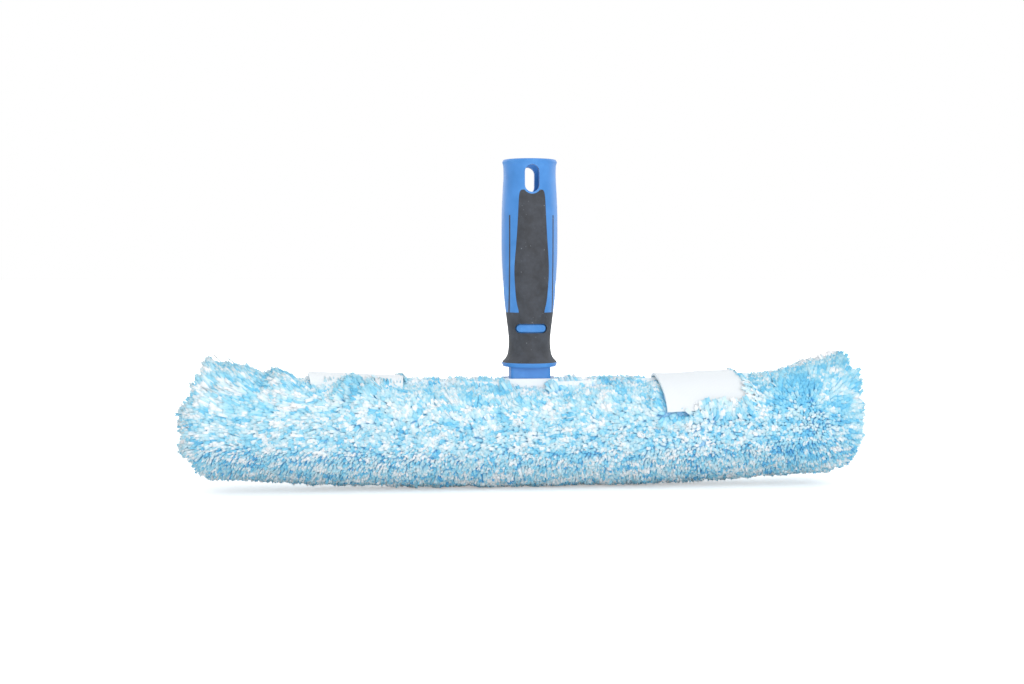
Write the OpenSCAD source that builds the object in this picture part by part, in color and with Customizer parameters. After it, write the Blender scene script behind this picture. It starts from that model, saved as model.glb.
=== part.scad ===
// Window scrubber: a bowed T-bar with a moulded handle, in a pile sleeve that two
// hook-and-loop straps close. Millimetres, +Z up along the handle, +X along the bar,
// front towards -Y, origin on the lowest point of the pile under the handle.

/* [T-bar] */
// Length of the bar along its bow
bar_len = 340; // [280:5:440]
// Height of the bar
bar_h = 36.4; // [32:0.2:44]
// Thickness of the bar, front to back
bar_t = 17; // [16:0.5:22]
// Corner radius of the bar's section
bar_corner = 5; // [3:0.5:6]
// Radius of the rounded bar ends, seen from the front
bar_end_r = 12; // [6:1:15]
// Radius of the bow, at the sleeve's lower edge
bow_r = 2200; // [1500:50:6000]
// Height of the rail along each long edge
rail_h = 5; // [4:0.5:8]
// Thickness of the web between the rails
web_t = 3; // [2:0.5:5]
// Thickness of one rib
rib_t = 2.4; // [1.6:0.2:4]
// Number of bays on each side of the hub
bays = 6; // [4:1:8]
// Height of a drain slot through the web
drain_h = 8; // [5:1:12]
// Width of the hub that holds the handle's tang
hub_w = 32; // [28:1:44]

/* [Handle] */
// Height of the neck between the bar and the flange
neck_h = 16.2; // [13:0.2:24]
// Width of the neck, along the bar
neck_w = 21.6; // [19:0.2:26]
// Depth of the neck, front to back
neck_d = 16; // [14:0.5:20]
// Corner radius of the neck
neck_corner = 2; // [1:0.5:4]
// Length of the handle from the flange's lower face to the rim
handle_len = 110.8; // [104:0.2:130]
// Radius of the flange at the handle's foot
flange_r = 14.9; // [14:0.1:17]
// Radius at the waist, above the flange
waist_r = 11.3; // [10.5:0.1:12.5]
// Height of the waist above the flange's lower face
waist_at = 14; // [12:0.5:18]
// Radius under the heel of the hand
heel_r = 13.7; // [13:0.1:14.5]
// Height of that radius
heel_at = 36.6; // [34:0.2:42]
// Radius of the palm swell
palm_r = 15; // [14.6:0.1:17]
// Height of the middle of the palm swell
palm_at = 71; // [66:1:76]
// Radius of the hollow below the rim
hollow_r = 14.05; // [13.9:0.05:14.8]
// Height of that hollow
hollow_at = 101.6; // [98:0.2:102]
// Radius of the rim
rim_r = 14.7; // [14.4:0.1:16.5]
// Radius of the pole socket
socket_r = 11; // [9:0.25:11.5]
// Depth of the pole socket
socket_depth = 58; // [40:1:62]
// Bevel at the socket's mouth
socket_bevel = 0.8; // [0.4:0.1:1.2]
// Width of the lock slot
slot_w = 7.7; // [6:0.1:9]
// Height of the lock slot
slot_h = 14.6; // [12:0.2:16]
// Distance from the rim to the slot's upper end
slot_drop = 3.1; // [2.5:0.1:4]

/* [Rubber grip] */
// Thickness of the rubber
grip_t = 1.6; // [1:0.1:2]
// Height of the rubber's lower edge above the flange's lower face
grip_low = 2.2; // [2:0.1:4]
// Height of the top edge of the full wrap
wrap_top = 29.2; // [26:0.2:32]
// Width of a panel where it leaves the wrap
panel_foot_w = 14; // [12:0.5:16]
// Greatest width of a panel
panel_w = 18.4; // [16:0.2:20]
// Height of a panel's greatest width
panel_wide_at = 54; // [48:1:60]
// Width of a panel at its upper end
panel_top_w = 13.2; // [12:0.2:15]
// Rim of bare plastic between the slot and the panel
slot_rim = 1; // [0.6:0.1:1.6]
// Height of a panel's horns beside the slot's lower end
horn_h = 2.2; // [1:0.1:3]
// Width of the thin rubber line beside a panel
line_w = 0.65; // [0.5:0.05:1.2]
// Distance of that line from the middle
line_x = 11.6; // [11:0.1:12]
// Depth of that line
line_t = 0.7; // [0.5:0.1:1]
// Height of that line's upper end
line_top = 81; // [70:1:88]
// Width of the window in the wrap
window_w = 17; // [12:0.5:18]
// Height of the window
window_h = 5; // [4:0.5:7]
// Height of the window's middle above the flange's lower face
window_at = 20.7; // [17:0.1:23]
// Width of the sunken border in the window
window_border = 0.7; // [0.4:0.1:1.2]
// Depth of the plate in the window below the rubber
window_sink = 0.35; // [0.2:0.05:0.6]

/* [Fastening] */
// Width of the tang below the neck
tang_w = 15; // [13:0.5:18]
// Depth of the tang, front to back
tang_d = 11; // [9:0.5:11]
// Thickness of the hub's floor under the tang
floor_t = 5; // [4:0.5:7]
// Radius of the screw's shank
screw_r = 2.5; // [2:0.25:3]
// Length of the screw's shank
screw_len = 24; // [18:1:28]
// Radius of the screw's head
head_r = 4.6; // [4:0.1:5]
// Height of the screw's head
head_h = 2.8; // [2:0.1:3.4]
// Width of the hexagonal recess in the head, across its flats
drive_w = 4; // [3:0.5:4.5]
// Radius of the washer
washer_r = 5.4; // [5.2:0.1:6]
// Thickness of the washer
washer_t = 1; // [0.6:0.1:1.4]

/* [Sleeve] */
// Thickness of the backing cloth
cloth_t = 1.2; // [0.8:0.1:2]
// Depth of the pile in front of and behind the bar
pile_side = 13.7; // [11:0.1:17]
// Depth of the pile under the bar
pile_below = 11; // [8:0.5:14]
// Depth of the pile over the bar
pile_above = 6.5; // [5:0.1:9]
// Depth of the pile at the ends
pile_end = 11.5; // [9:0.5:14]
// Length of an end panel
end_len = 18; // [16:0.5:22]
// How far an end panel swells past the wrap
end_swell = 1.6; // [0:0.1:2.5]
// How far an end panel's rim is drawn in at its tip
end_draw = 14; // [10:0.5:16]
// How far the slit runs on past each strap
slit_past = 2.5; // [1:0.5:12]
// Width of the slit away from the neck
slit_gap = 2; // [1.5:0.1:3]
// Length over which the slit widens towards the neck
slit_run = 34; // [20:1:38]
// Thickness of the binding tape along the slit
tape_t = 1.2; // [0.8:0.1:1.6]
// How far the tape stands up where it passes the neck
tape_lift = 1.7; // [0:0.1:2.5]
// Length of that raised stretch
tape_lift_len = 29; // [26:1:34]

/* [Straps] */
// Width of a strap
strap_w = 48; // [30:1:56]
// Distance of a strap's middle from the handle
strap_at = 93.5; // [86:0.5:95]
// Thickness of a strap
strap_t = 1.6; // [1:0.1:2]
// Thickness of the rolled fold on a strap's hinge line
fold_t = 1.9; // [1.8:0.1:2.4]
// Angle from the top to the hinge line
hinge_a = 20; // [16:1:24]
// Angle from the top to the strap's free end
strap_a = 72; // [62:1:74]
// Thickness of the hook pad
hook_t = 1; // [0.6:0.1:1.4]
// Thickness of the loop pad
loop_t = 0.9; // [0.6:0.1:1.4]
// Angle from the top to the pads' upper edge
pad_from = 29; // [27:1:34]
// Angle from the top to the pads' lower edge
pad_to = 68; // [52:1:70]
// Margin of a strap beside its hook pad
pad_margin = 3; // [2:0.5:5]

/* [Clearances] */
// Between the bar and the backing cloth
bar_gap = 0.6; // [0.4:0.1:1]
// Between the neck and the slit's edges
neck_gap = 0.4; // [0.3:0.1:0.8]
// Round the tang in the hub
tang_gap = 0.2; // [0.1:0.05:0.4]
// Round the screw in the holes that it passes
screw_gap = 0.3; // [0.2:0.05:0.5]
// Round the screw in the hole that it grips
thread_gap = 0.05; // [0.02:0.01:0.1]
// Between a strap and the pile under it
strap_gap = 0.45; // [0.35:0.05:0.8]
// Between a hook pad and its loop pad, and between a strap and its sewn end
pad_gap = 0.3; // [0.2:0.05:0.5]
// Between a strap and the hook pad sewn on it
sewn_gap = 0.05; // [0.03:0.01:0.1]

/* [Hidden] */

// A fine step count for true curves, and a length that passes any wall
fine = 256;
far = 60;

// Heights above the lowest pile
bar_low = pile_below + cloth_t + bar_gap;
bar_mid = bar_low + bar_h / 2;
bar_top = bar_low + bar_h;
cloth_top = bar_top + bar_gap + cloth_t;
pile_top = cloth_top + pile_above;
flange_z = bar_top + neck_h;
floor_z = bar_low + head_h + washer_t + floor_t;

// The neck's foot is flat and the bar bows, so it seats on the bar at the neck's two sides
neck_foot = bar_top + neck_w * neck_w / 8 / (bow_r - bar_top) + 0.01;

// The sleeve's sections: width and height of the bar's pocket, the cloth and the pile
pocket_w = bar_t + 2 * bar_gap;
pocket_h = bar_h + 2 * bar_gap;
cloth_w = pocket_w + 2 * cloth_t;
cloth_h = pocket_h + 2 * cloth_t;
pile_w = cloth_w + 2 * pile_side;
pile_r = pile_w / 2;
arc_z = pile_top - pile_r;

// Half lengths along the bow, measured at the bar's middle
bow_mid_r = bow_r - bar_mid;
pocket_half = bar_len / 2 + bar_gap;
cloth_half = pocket_half + cloth_t;
sleeve_half = cloth_half + pile_end;
wrap_half = sleeve_half - end_len;
slit_len = 2 * (strap_at + strap_w / 2 + slit_past);

// The straps' radii about the middle of the pile's rounded top
strap_in = pile_r + strap_gap;
strap_out = strap_in + strap_t;
hinge_r = strap_in + strap_t / 2;
hook_out = strap_in - sewn_gap;
hook_in = hook_out - hook_t;
loop_out = hook_in - pad_gap;
loop_in = loop_out - loop_t;
pad_w = strap_w - 2 * pad_margin;
hinge_y = hinge_r * sin(hinge_a);
hinge_z = arc_z + hinge_r * cos(hinge_a);
recess_gap_a = 1.6;

// A strap's sewn end is straight and the cloth under it bows, so its foot stands clear by the rise
cloth_corner = bar_corner + bar_gap + cloth_t;
tail_in = hinge_y - strap_t / 2 - (cloth_w / 2 - cloth_corner);
cloth_rise = strap_w * strap_w / 8 / (bow_mid_r - bar_h / 2) + 0.05;
tail_foot = bar_mid + cloth_h / 2 - cloth_corner
    + sqrt(cloth_corner * cloth_corner - tail_in * tail_in) + cloth_rise;
tail_top = hinge_z - fold_t / 2 - pad_gap;

// A bay of the bar runs from the hub or a rib to the next rib
bar_end_wall = 7;
bay_pitch = (bar_len / 2 - bar_end_wall - hub_w / 2) / bays;
pocket_corner = 3;
rail_space = bar_h - 2 * rail_h;

// Slot places, measured up from the flange's lower face
slot_high = handle_len - slot_drop;
slot_low = slot_high - slot_h;
panel_top = slot_low - slot_rim + horn_h;

function arc(cx, cy, r, a0, a1, n) =
    [for (i = [0 : n]) let (a = a0 + (a1 - a0) * i / n) [cx + r * cos(a), cy + r * sin(a)]];

function round_box(w, h, r, n = 6) = concat(
    arc(w / 2 - r, h / 2 - r, r, 0, 90, n),
    arc(r - w / 2, h / 2 - r, r, 90, 180, n),
    arc(r - w / 2, r - h / 2, r, 180, 270, n),
    arc(w / 2 - r, r - h / 2, r, 270, 360, n));

function pill(w, h, n = 14) = concat(
    arc(0, (h - w) / 2, w / 2, 0, 180, n),
    arc(0, (w - h) / 2, w / 2, 180, 360, n));

// A smooth curve through the points p, with n steps to a span
function between(a, b, c, d, t) = 0.5 * (2 * b + (c - a) * t
    + (2 * a - 5 * b + 4 * c - d) * t * t + (3 * b - a - 3 * c + d) * t * t * t);

function curve(p, n) = concat(
    [for (i = [0 : len(p) - 2]) for (k = [0 : n - 1])
        between(p[max(i - 1, 0)], p[i], p[i + 1], p[min(i + 2, len(p) - 1)], k / n)],
    [p[len(p) - 1]]);

function turn(s) = s / bow_mid_r * 180 / PI;

// Half the slit's width at x: wide past the neck, then narrowing to the slit's own gap
slit_flat = neck_w / 2 + neck_gap + neck_corner / 2;
function slit_half(x) =
    let (t = min(max((abs(x) - slit_flat) / slit_run, 0), 1), wide = neck_d / 2 + neck_gap)
    slit_gap / 2 + (wide - slit_gap / 2) * (1 + cos(180 * t)) / 2;

// Sweeps a section, drawn as y across and z up, along the bow
module bowed(half) {
    translate([0, 0, bow_r])
        rotate([90, 90, 0])
            rotate([0, 0, -turn(half)])
                rotate_extrude(angle = 2 * turn(half), $fn = fine)
                    translate([bow_r, 0])
                        mirror([1, 1])
                            children();
}

// Sets its children square to the bow, at s along it
module on_bow(s) {
    translate([0, 0, bow_r])
        rotate([0, -turn(s), 0])
            translate([0, 0, -bow_r])
                children();
}

module cloth_sweep() {
    bowed(cloth_half)
        translate([0, bar_mid])
            polygon(round_box(cloth_w, cloth_h, cloth_corner));
}

// The slit's outline from above, widened by grow
module slit_plan(grow) {
    steps = 40;
    xs = [for (i = [0 : steps]) -slit_len / 2 + slit_len * i / steps];
    polygon(concat(
        [for (x = xs) [x, -slit_half(x) - grow]],
        [for (i = [steps : -1 : 0]) [xs[i], slit_half(xs[i]) + grow]]));
}

// A curved plate about the middle of the pile's rounded top; angles run from the top to the rear
module arc_plate(r0, r1, a0, a1, w) {
    translate([0, 0, arc_z])
        rotate([0, -90, 0])
            rotate([0, 0, a0])
                rotate_extrude(angle = a1 - a0, $fn = fine)
                    translate([r0, -w / 2])
                        square([r1 - r0, w]);
}

// A slot-shaped bar along Y: w wide, from z = low to z = high
module slot_bar(w, low, high, depth) {
    translate([0, 0, (low + high) / 2])
        rotate([90, 0, 0])
            translate([0, 0, -depth / 2])
                linear_extrude(depth)
                    polygon(pill(w, high - low));
}

module handle_profile(inset) {
    stations = [
        [flange_r - 0.7, 0],
        [flange_r, 2.1],
        [(flange_r + waist_r) / 2, 4.3],
        [waist_r + 0.6, 6.6],
        [waist_r, waist_at - 3],
        [waist_r, waist_at + 2],
        [(waist_r + heel_r) / 2, (waist_at + heel_at) / 2 + 1],
        [heel_r, heel_at],
        [(heel_r + palm_r) / 2 + 0.1, heel_at + 13],
        [palm_r, palm_at - 10],
        [palm_r, palm_at + 10],
        [(palm_r + hollow_r) / 2, (palm_at + 10 + hollow_at) / 2 + 2],
        [hollow_r, hollow_at],
        [hollow_r + 0.15, (hollow_at + handle_len) / 2 + 1.4],
        [rim_r, handle_len - 1.2],
        [rim_r - 0.7, handle_len]];
    side = curve(stations, 3);
    polygon(concat(
        [[0, 0]],
        [for (p = side) [p[0] - inset, p[1]]],
        [[0, handle_len]]));
}

module handle_turned(inset) {
    translate([0, 0, flange_z])
        rotate_extrude($fn = fine)
            handle_profile(inset);
}

// The panel's side runs up from inside the wrap to its horns
module panel_plan() {
    half = [
        [panel_foot_w / 2, wrap_top - 1],
        [panel_foot_w / 2, wrap_top + 1.2],
        [(panel_foot_w + panel_w) / 4, wrap_top + 6],
        [panel_w / 2 - 0.3, wrap_top + 14.5],
        [panel_w / 2, panel_wide_at],
        [panel_w / 2 - 1.1, panel_wide_at + 15.6],
        [(panel_w + panel_top_w) / 4 - 0.5, panel_top - 12],
        [panel_top_w / 2 + 0.4, panel_top - 4],
        [panel_top_w / 2 - 0.2, panel_top - 0.9],
        [panel_top_w / 2 - 1.1, panel_top]];
    side = curve(half, 3);
    last = len(side) - 1;
    difference() {
        polygon(concat(
            [for (p = side) p],
            [for (i = [last : -1 : 0]) [-side[i][0], side[i][1]]]));
        translate([0, (slot_low + slot_high) / 2])
            polygon(pill(slot_w + 2 * slot_rim, slot_h + 2 * slot_rim));
    }
}

// The rubber's room: a skin under the handle's outside, standing out by proud
module rubber_room(proud) {
    intersection() {
        difference() {
            handle_turned(-proud);
            handle_turned(grip_t);
        }
        union() {
            translate([0, 0, flange_z + grip_low])
                cylinder(r = far, h = wrap_top - grip_low);
            translate([0, far, flange_z])
                rotate([90, 0, 0])
                    linear_extrude(2 * far)
                        panel_plan();
        }
    }
    intersection() {
        difference() {
            handle_turned(-proud);
            handle_turned(line_t);
        }
        for (side = [-1, 1])
            translate([side * line_x - line_w / 2, -far, flange_z + wrap_top - 1])
                cube([line_w, 2 * far, line_top - wrap_top + 1]);
    }
}

module window_bar(shrink) {
    translate([0, -far / 2, flange_z + window_at])
        rotate([90, 0, 0])
            translate([0, 0, -far / 2])
                linear_extrude(far)
                    rotate([0, 0, 90])
                        polygon(pill(window_h - 2 * shrink, window_w - 2 * shrink));
}

module handle_core() {
    color("#3f8fdc")
    difference() {
        union() {
            difference() {
                handle_turned(0);
                rubber_room(1);
            }
            intersection() {
                handle_turned(window_sink);
                window_bar(window_border);
            }
            translate([0, 0, neck_foot])
                linear_extrude(flange_z - neck_foot)
                    polygon(round_box(neck_w, neck_d, neck_corner));
            translate([0, 0, floor_z])
                linear_extrude(flange_z - floor_z)
                    polygon(round_box(tang_w, tang_d, neck_corner));
        }
        translate([0, 0, flange_z + handle_len - socket_depth])
            cylinder(r = socket_r, h = socket_depth + 1, $fn = fine);
        translate([0, 0, flange_z + handle_len - socket_bevel])
            cylinder(r1 = socket_r, r2 = socket_r + socket_bevel, h = socket_bevel, $fn = fine);
        slot_bar(slot_w, flange_z + slot_low, flange_z + slot_high, 2 * far);
        translate([0, 0, floor_z - 1])
            cylinder(r = screw_r + thread_gap, h = screw_len - floor_t + 2, $fn = fine);
    }
}

module rubber_grip() {
    color("#45494f")
    difference() {
        rubber_room(0);
        window_bar(0);
    }
}

// One bay's pocket on each face and the drain slot between them, in the bow's local frame
module bay() {
    w = bay_pitch - rib_t;
    depth = (bar_t - web_t) / 2;
    for (face = [0, 180])
        rotate([0, 0, face])
            translate([0, -web_t / 2, bar_mid])
                rotate([90, 0, 0])
                    linear_extrude(depth + 1)
                        polygon(round_box(w, rail_space, pocket_corner, 4));
    translate([0, 0, bar_mid])
        rotate([90, 0, 0])
            translate([0, 0, -web_t])
                linear_extrude(2 * web_t)
                    rotate([0, 0, 90])
                        polygon(pill(drain_h, w - 2 * pocket_corner, 8));
}

// What is cut off a bar end to round one corner
module end_corner() {
    translate([-bar_end_r, 0, -bar_end_r])
        rotate([90, 0, 0])
            translate([0, 0, -bar_t])
                linear_extrude(2 * bar_t)
                    difference() {
                        square(bar_end_r + 2);
                        circle(r = bar_end_r, $fn = fine);
                    }
}

module t_bar() {
    color("#e9eef2")
    difference() {
        bowed(bar_len / 2)
            translate([0, bar_mid])
                polygon(round_box(bar_t, bar_h, bar_corner));
        for (side = [-1, 1])
            for (i = [0 : bays - 1])
                on_bow(side * (hub_w / 2 + bay_pitch * (i + 0.5)))
                    bay();
        for (end = [0, 180])
            rotate([0, 0, end])
                on_bow(bar_len / 2) {
                    translate([0, 0, bar_top])
                        end_corner();
                    translate([0, 0, bar_low])
                        mirror([0, 0, 1])
                            end_corner();
                }
        translate([0, 0, floor_z])
            linear_extrude(bar_h)
                polygon(round_box(tang_w + 2 * tang_gap, tang_d + 2 * tang_gap, neck_corner));
        translate([0, 0, bar_low - 1])
            cylinder(r = screw_r + screw_gap, h = bar_h, $fn = fine);
        translate([0, 0, bar_low - 1])
            cylinder(r = washer_r + screw_gap, h = head_h + washer_t + 1, $fn = fine);
    }
}

module fixing_screw() {
    color("#c9ccd0")
    difference() {
        union() {
            translate([0, 0, bar_low])
                cylinder(r = head_r, h = head_h, $fn = fine);
            translate([0, 0, bar_low + head_h])
                cylinder(r = screw_r, h = screw_len, $fn = fine);
        }
        translate([0, 0, bar_low - 1])
            cylinder(r = drive_w / sqrt(3), h = 1 + head_h * 0.6, $fn = 6);
    }
}

module screw_washer() {
    color("#b9bdc2")
    translate([0, 0, bar_low + head_h])
        difference() {
            cylinder(r = washer_r, h = washer_t, $fn = fine);
            translate([0, 0, -1])
                cylinder(r = screw_r + screw_gap, h = washer_t + 2, $fn = fine);
        }
}

module sleeve_backing() {
    color("#f2f5f7")
    difference() {
        cloth_sweep();
        bowed(pocket_half)
            translate([0, bar_mid])
                polygon(round_box(pocket_w, pocket_h, bar_corner + bar_gap));
        translate([0, 0, bar_mid])
            linear_extrude(far)
                slit_plan(0);
    }
}

module sleeve_pile() {
    color("#a9dcf2")
    difference() {
        bowed(wrap_half)
            translate([0, pile_top / 2])
                polygon(pill(pile_w, pile_top));
        cloth_sweep();
        translate([0, 0, bar_mid])
            linear_extrude(far)
                slit_plan(tape_t);
        for (turned = [0, 180])
            rotate([0, 0, turned]) {
                on_bow(strap_at)
                    arc_plate(loop_in, pile_r + 5, -pad_to - recess_gap_a,
                        -pad_from + recess_gap_a, pad_w + 2 * pad_gap);
                strap_tail_block(bar_mid);
            }
    }
}

// The end panel's dome: rings of the pile's section that swell, then draw in to the tip
module end_dome() {
    rings = 6;
    hull()
        for (i = [0 : rings]) {
            t = i / rings;
            x = end_len * sin(90 * t);
            drawn = end_draw * (1 - cos(90 * t)) - end_swell * sin(180 * t) * (1 - t);
            translate([x, 0, pile_top / 2])
                rotate([90, 0, 90])
                    linear_extrude(0.01)
                        polygon(pill(pile_w - 2 * drawn, pile_top - 2 * drawn, 14));
        }
}

module end_panel_right() {
    color("#9fd6ef")
    difference() {
        on_bow(wrap_half)
            end_dome();
        cloth_sweep();
    }
}

module end_panel_left() {
    rotate([0, 0, 180])
        end_panel_right();
}

// One tape stands along one lip of the slit and rises where it passes the neck
module slit_tape() {
    color("#f7f9fa")
    difference() {
        intersection() {
            translate([0, 0, bar_mid])
                linear_extrude(far)
                    difference() {
                        slit_plan(tape_t);
                        slit_plan(0);
                        translate([-slit_len, 0])
                            square([2 * slit_len, far]);
                    }
            union() {
                bowed(slit_len / 2 + 2)
                    translate([-pile_r, bar_mid])
                        square([pile_w, pile_top - bar_mid]);
                translate([-tape_lift_len / 2, -pile_r, bar_mid])
                    cube([tape_lift_len, pile_w, pile_top + tape_lift - bar_mid]);
            }
        }
        cloth_sweep();
    }
}

module slit_tape_front() {
    slit_tape();
}

module slit_tape_rear() {
    rotate([0, 0, 180])
        slit_tape();
}

// The strap's free part seen from its side
function strap_side(n) = concat(
    arc(0, arc_z, strap_out, 90 + strap_a, 90 - hinge_a, n),
    arc(0, arc_z, strap_in, 90 - hinge_a, 90 + strap_a, n));

module strap() {
    color("#f4f8fa")
    on_bow(strap_at)
        translate([-strap_w / 2, 0, 0])
            rotate([90, 0, 90]) {
                linear_extrude(strap_w)
                    polygon(strap_side(24));
                translate([hinge_y, hinge_z])
                    cylinder(r = fold_t / 2, h = strap_w, $fn = fine);
            }
}

module hook_pad() {
    color("#e3e8ea")
    on_bow(strap_at)
        arc_plate(hook_in, hook_out, -pad_to, -pad_from, pad_w);
}

module loop_pad() {
    color("#dfe6ea")
    on_bow(strap_at)
        arc_plate(loop_in, loop_out, -pad_to - 1, -pad_from + 1, pad_w);
}

// The sewn end of a strap goes down through the pile from just under the hinge
module strap_tail_block(foot) {
    on_bow(strap_at)
        translate([-strap_w / 2, hinge_y - strap_t / 2, foot])
            cube([strap_w, strap_t, tail_top - foot]);
}

module strap_tail() {
    color("#eef3f6")
    strap_tail_block(tail_foot);
}

module right_strap() {
    strap();
}

module right_hook_pad() {
    hook_pad();
}

module right_loop_pad() {
    loop_pad();
}

module right_strap_tail() {
    strap_tail();
}

// The left strap opens the other way, so it is the right one turned half round the handle
module left_strap() {
    rotate([0, 0, 180])
        strap();
}

module left_hook_pad() {
    rotate([0, 0, 180])
        hook_pad();
}

module left_loop_pad() {
    rotate([0, 0, 180])
        loop_pad();
}

module left_strap_tail() {
    rotate([0, 0, 180])
        strap_tail();
}

handle_core();
rubber_grip();
t_bar();
fixing_screw();
screw_washer();
sleeve_backing();
sleeve_pile();
end_panel_left();
end_panel_right();
slit_tape_front();
slit_tape_rear();
right_strap();
right_hook_pad();
right_loop_pad();
right_strap_tail();
left_strap();
left_hook_pad();
left_loop_pad();
left_strap_tail();
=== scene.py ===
# Window scrubber: the finish of the handle, the cloth and the straps, and the pile tuft by tuft.
# Metres, +Z up along the handle, +X along the bar, front towards -Y.
import math

import bmesh
import bpy
import numpy as np
from mathutils import Matrix, Vector, noise


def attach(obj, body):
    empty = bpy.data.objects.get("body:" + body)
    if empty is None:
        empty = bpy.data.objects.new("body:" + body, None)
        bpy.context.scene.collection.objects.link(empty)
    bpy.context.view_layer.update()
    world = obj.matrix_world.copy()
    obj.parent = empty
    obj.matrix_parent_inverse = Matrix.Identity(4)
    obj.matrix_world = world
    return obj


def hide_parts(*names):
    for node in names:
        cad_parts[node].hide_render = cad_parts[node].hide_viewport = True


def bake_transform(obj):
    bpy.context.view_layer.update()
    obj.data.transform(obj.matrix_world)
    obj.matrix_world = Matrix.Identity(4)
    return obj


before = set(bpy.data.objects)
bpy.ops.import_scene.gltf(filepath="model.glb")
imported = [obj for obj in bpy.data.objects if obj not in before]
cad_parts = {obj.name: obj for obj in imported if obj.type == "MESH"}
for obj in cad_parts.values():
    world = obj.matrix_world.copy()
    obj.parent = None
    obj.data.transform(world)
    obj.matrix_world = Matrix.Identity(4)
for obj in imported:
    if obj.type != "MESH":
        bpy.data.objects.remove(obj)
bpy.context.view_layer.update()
MM = 0.001
# The noise fields are the same in each run
noise.seed_set(7)

# The sleeve, in the frame's own sizes: its bow, its section and its length along the bow
BOW_R = 2200 * MM
BAR_MID = 31 * MM
BOW_MID_R = BOW_R - BAR_MID
PILE_R = 24 * MM
PILE_TOP = 57.5 * MM
WRAP_HALF = 165.3 * MM
END_LEN = 18 * MM
END_DRAW = 14 * MM
END_SWELL = 1.6 * MM
ARC_Z = PILE_TOP - PILE_R
UPRIGHT = PILE_TOP - 2 * PILE_R
QUARTER = math.pi * PILE_R / 2
SECTION_HALF = 2 * QUARTER + UPRIGHT

# The slit along the top
SLIT_HALF_LEN = 120 * MM
SLIT_GAP = 1 * MM
SLIT_WIDE = 8.4 * MM
SLIT_FLAT = 12.2 * MM
SLIT_RUN = 34 * MM
TAPE_T = 1.2 * MM

# The straps: their middle along the bow, and their path about the middle of the rounded top
STRAP_AT = 93.5 * MM
STRAP_W = 48 * MM
STRAP_MID_R = 25.25 * MM
HINGE_A = math.radians(20)
STRAP_A = math.radians(72)
PAD_W = 42 * MM
PAD_FROM = math.radians(29)
PAD_TO = math.radians(68)
# How far a strap's free end has slipped outwards along the bar
STRAP_SLIP = 2 * MM
# The tape's path stands off the arc by this much at its top, and its face this far out of the path
STRAP_LIFT = 0.7 * MM
STRAP_FACE = 1.1 * MM
# How far each strap's outer edge is drawn in where it passes over the crest
STRAP_DRAW = {-1: -2.5 * MM, 1: 5 * MM}

# The pile: how deep the tufts' roots lie, how deep the ground between them lies, how much deeper both
# lie on the ends' faces, and how far apart the tufts stand
ROOT_DEPTH = 6.5 * MM
GROUND_DEPTH = 3.2 * MM
END_SINK = 7 * MM
PITCH = 1.32 * MM
# How much a tuft is shaded as the nap that it stands in
NAP = 0.9

# How far the pile's top stands above its even height at places along the bar, in millimetres
CREST = ((-186, 0), (-172, 5.5), (-164, 3.5), (-156, 3.5), (-146, 3), (-138, 0), (-131, 3), (-126, 2),
         (-122, -1.5), (-119, -2), (14, -1), (20, -3), (40, -1), (56, -2), (68, -4), (125, -1), (145, 1),
         (155, 2.5), (165, 1.5), (173, 6.5), (180, 7), (186, 2))
# The tufts that stand up at the neck's sides, and the white ones that show past the crest at the right end
NECK_SIDE = 13 * MM
WHITE_CREST = 163 * MM
# The tall tufts that hide part of the left strap
HUMP_X = -88 * MM
HUMP_W = 13 * MM
# The line along which the strands part at the right end, and the bluest patch beside it
PARTING_LOW = (161 * MM, -21 * MM, 31 * MM)
PARTING_TOP = (151 * MM, -21 * MM, 47 * MM)
SKY_PATCH = (145 * MM, -18 * MM, 55 * MM)
# How far out the strands reach at each end: height over the table and distance from the middle, in mm
LEFT_REACH = ((0, 160), (4, 168), (10, 176), (15, 178), (24, 184.5), (31, 183), (36, 185.5), (44, 183),
              (52, 178), (60, 178), (66, 173), (71, 172))
RIGHT_REACH = ((0, 160), (7, 167), (11, 173), (22, 177), (36, 178.5), (50, 177), (63, 178), (68, 174),
               (74, 175))
# The strands there hang together in clumps: their width, and how far a clump stands out or stays back
CLUMP = 4 * MM
CLUMP_REACH = 3.2 * MM
# Between the straps no strand stands higher than this over the table: distance from the middle and height,
# in mm, and how far from the middle that holds
SLIT_TOP = ((0, 59.8), (20, 59.6), (45, 58.9), (75, 59.5))
SLIT_TOP_HALF = 68 * MM

# One tuft on a unit line: its sides, how far the grooves between the yarns cut in, the twist from ring to
# ring, the rings' heights and radii, and how far the yarns' ends stand out past the grooves
TUFT_SIDES = 6
TUFT_GROOVE = 0.75
TUFT_TWIST = math.radians(32)
TUFT_RINGS = ((0.0, 0.6), (0.6, 1.0), (1.0, 0.9))
TUFT_END = 0.1
# A bent tuft's curve: what it loses in height and gains sideways, as shares of its length times its bend
BEND_DROP = 0.5
BEND_RUN = 0.8
# A tuft's place varies by this share of the pitch
JITTER = 0.3
# No tuft stands nearer to the slit's binding tape than this
LIP_CLEAR = 0.4 * MM

# Which way the tufts lean, as vectors along X, Y and Z or as amounts that are added together
LEAN = {"wide": 0.8, "fine": 0.9, "loose": 0.22, "left": (-1.7, 0, 0.1), "middle": (-0.8, 0, 0.15),
        "fan": 1.6, "crest": (0, 0, 0.9), "slit": 2.5, "over_strap": 1.6, "off_strap": 1.2, "beside": 2.2,
        "open": 1.6}
LEAN_WIDE_SIZE = 30 * MM
LEAN_FINE_SIZE = 7 * MM
# The distance from the middle of an end's face at which its strands lean by the full amount
OPEN_AT = 10 * MM

# How far the tufts bend over: 0 stands straight and 1 lies flat
BEND = {"even": 0.62, "left": 0.2, "crest": 0.25, "low": 0.7, "parting": 0.75, "end": 0.5, "slit": 0.85,
        "strap": 0.55, "face": 0.3, "loose": 0.12, "under": 0.9, "least": 0.04}
# How far from the middle of an end's face its strands bend by the full amount
FACE_BEND_AT = 12 * MM

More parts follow.
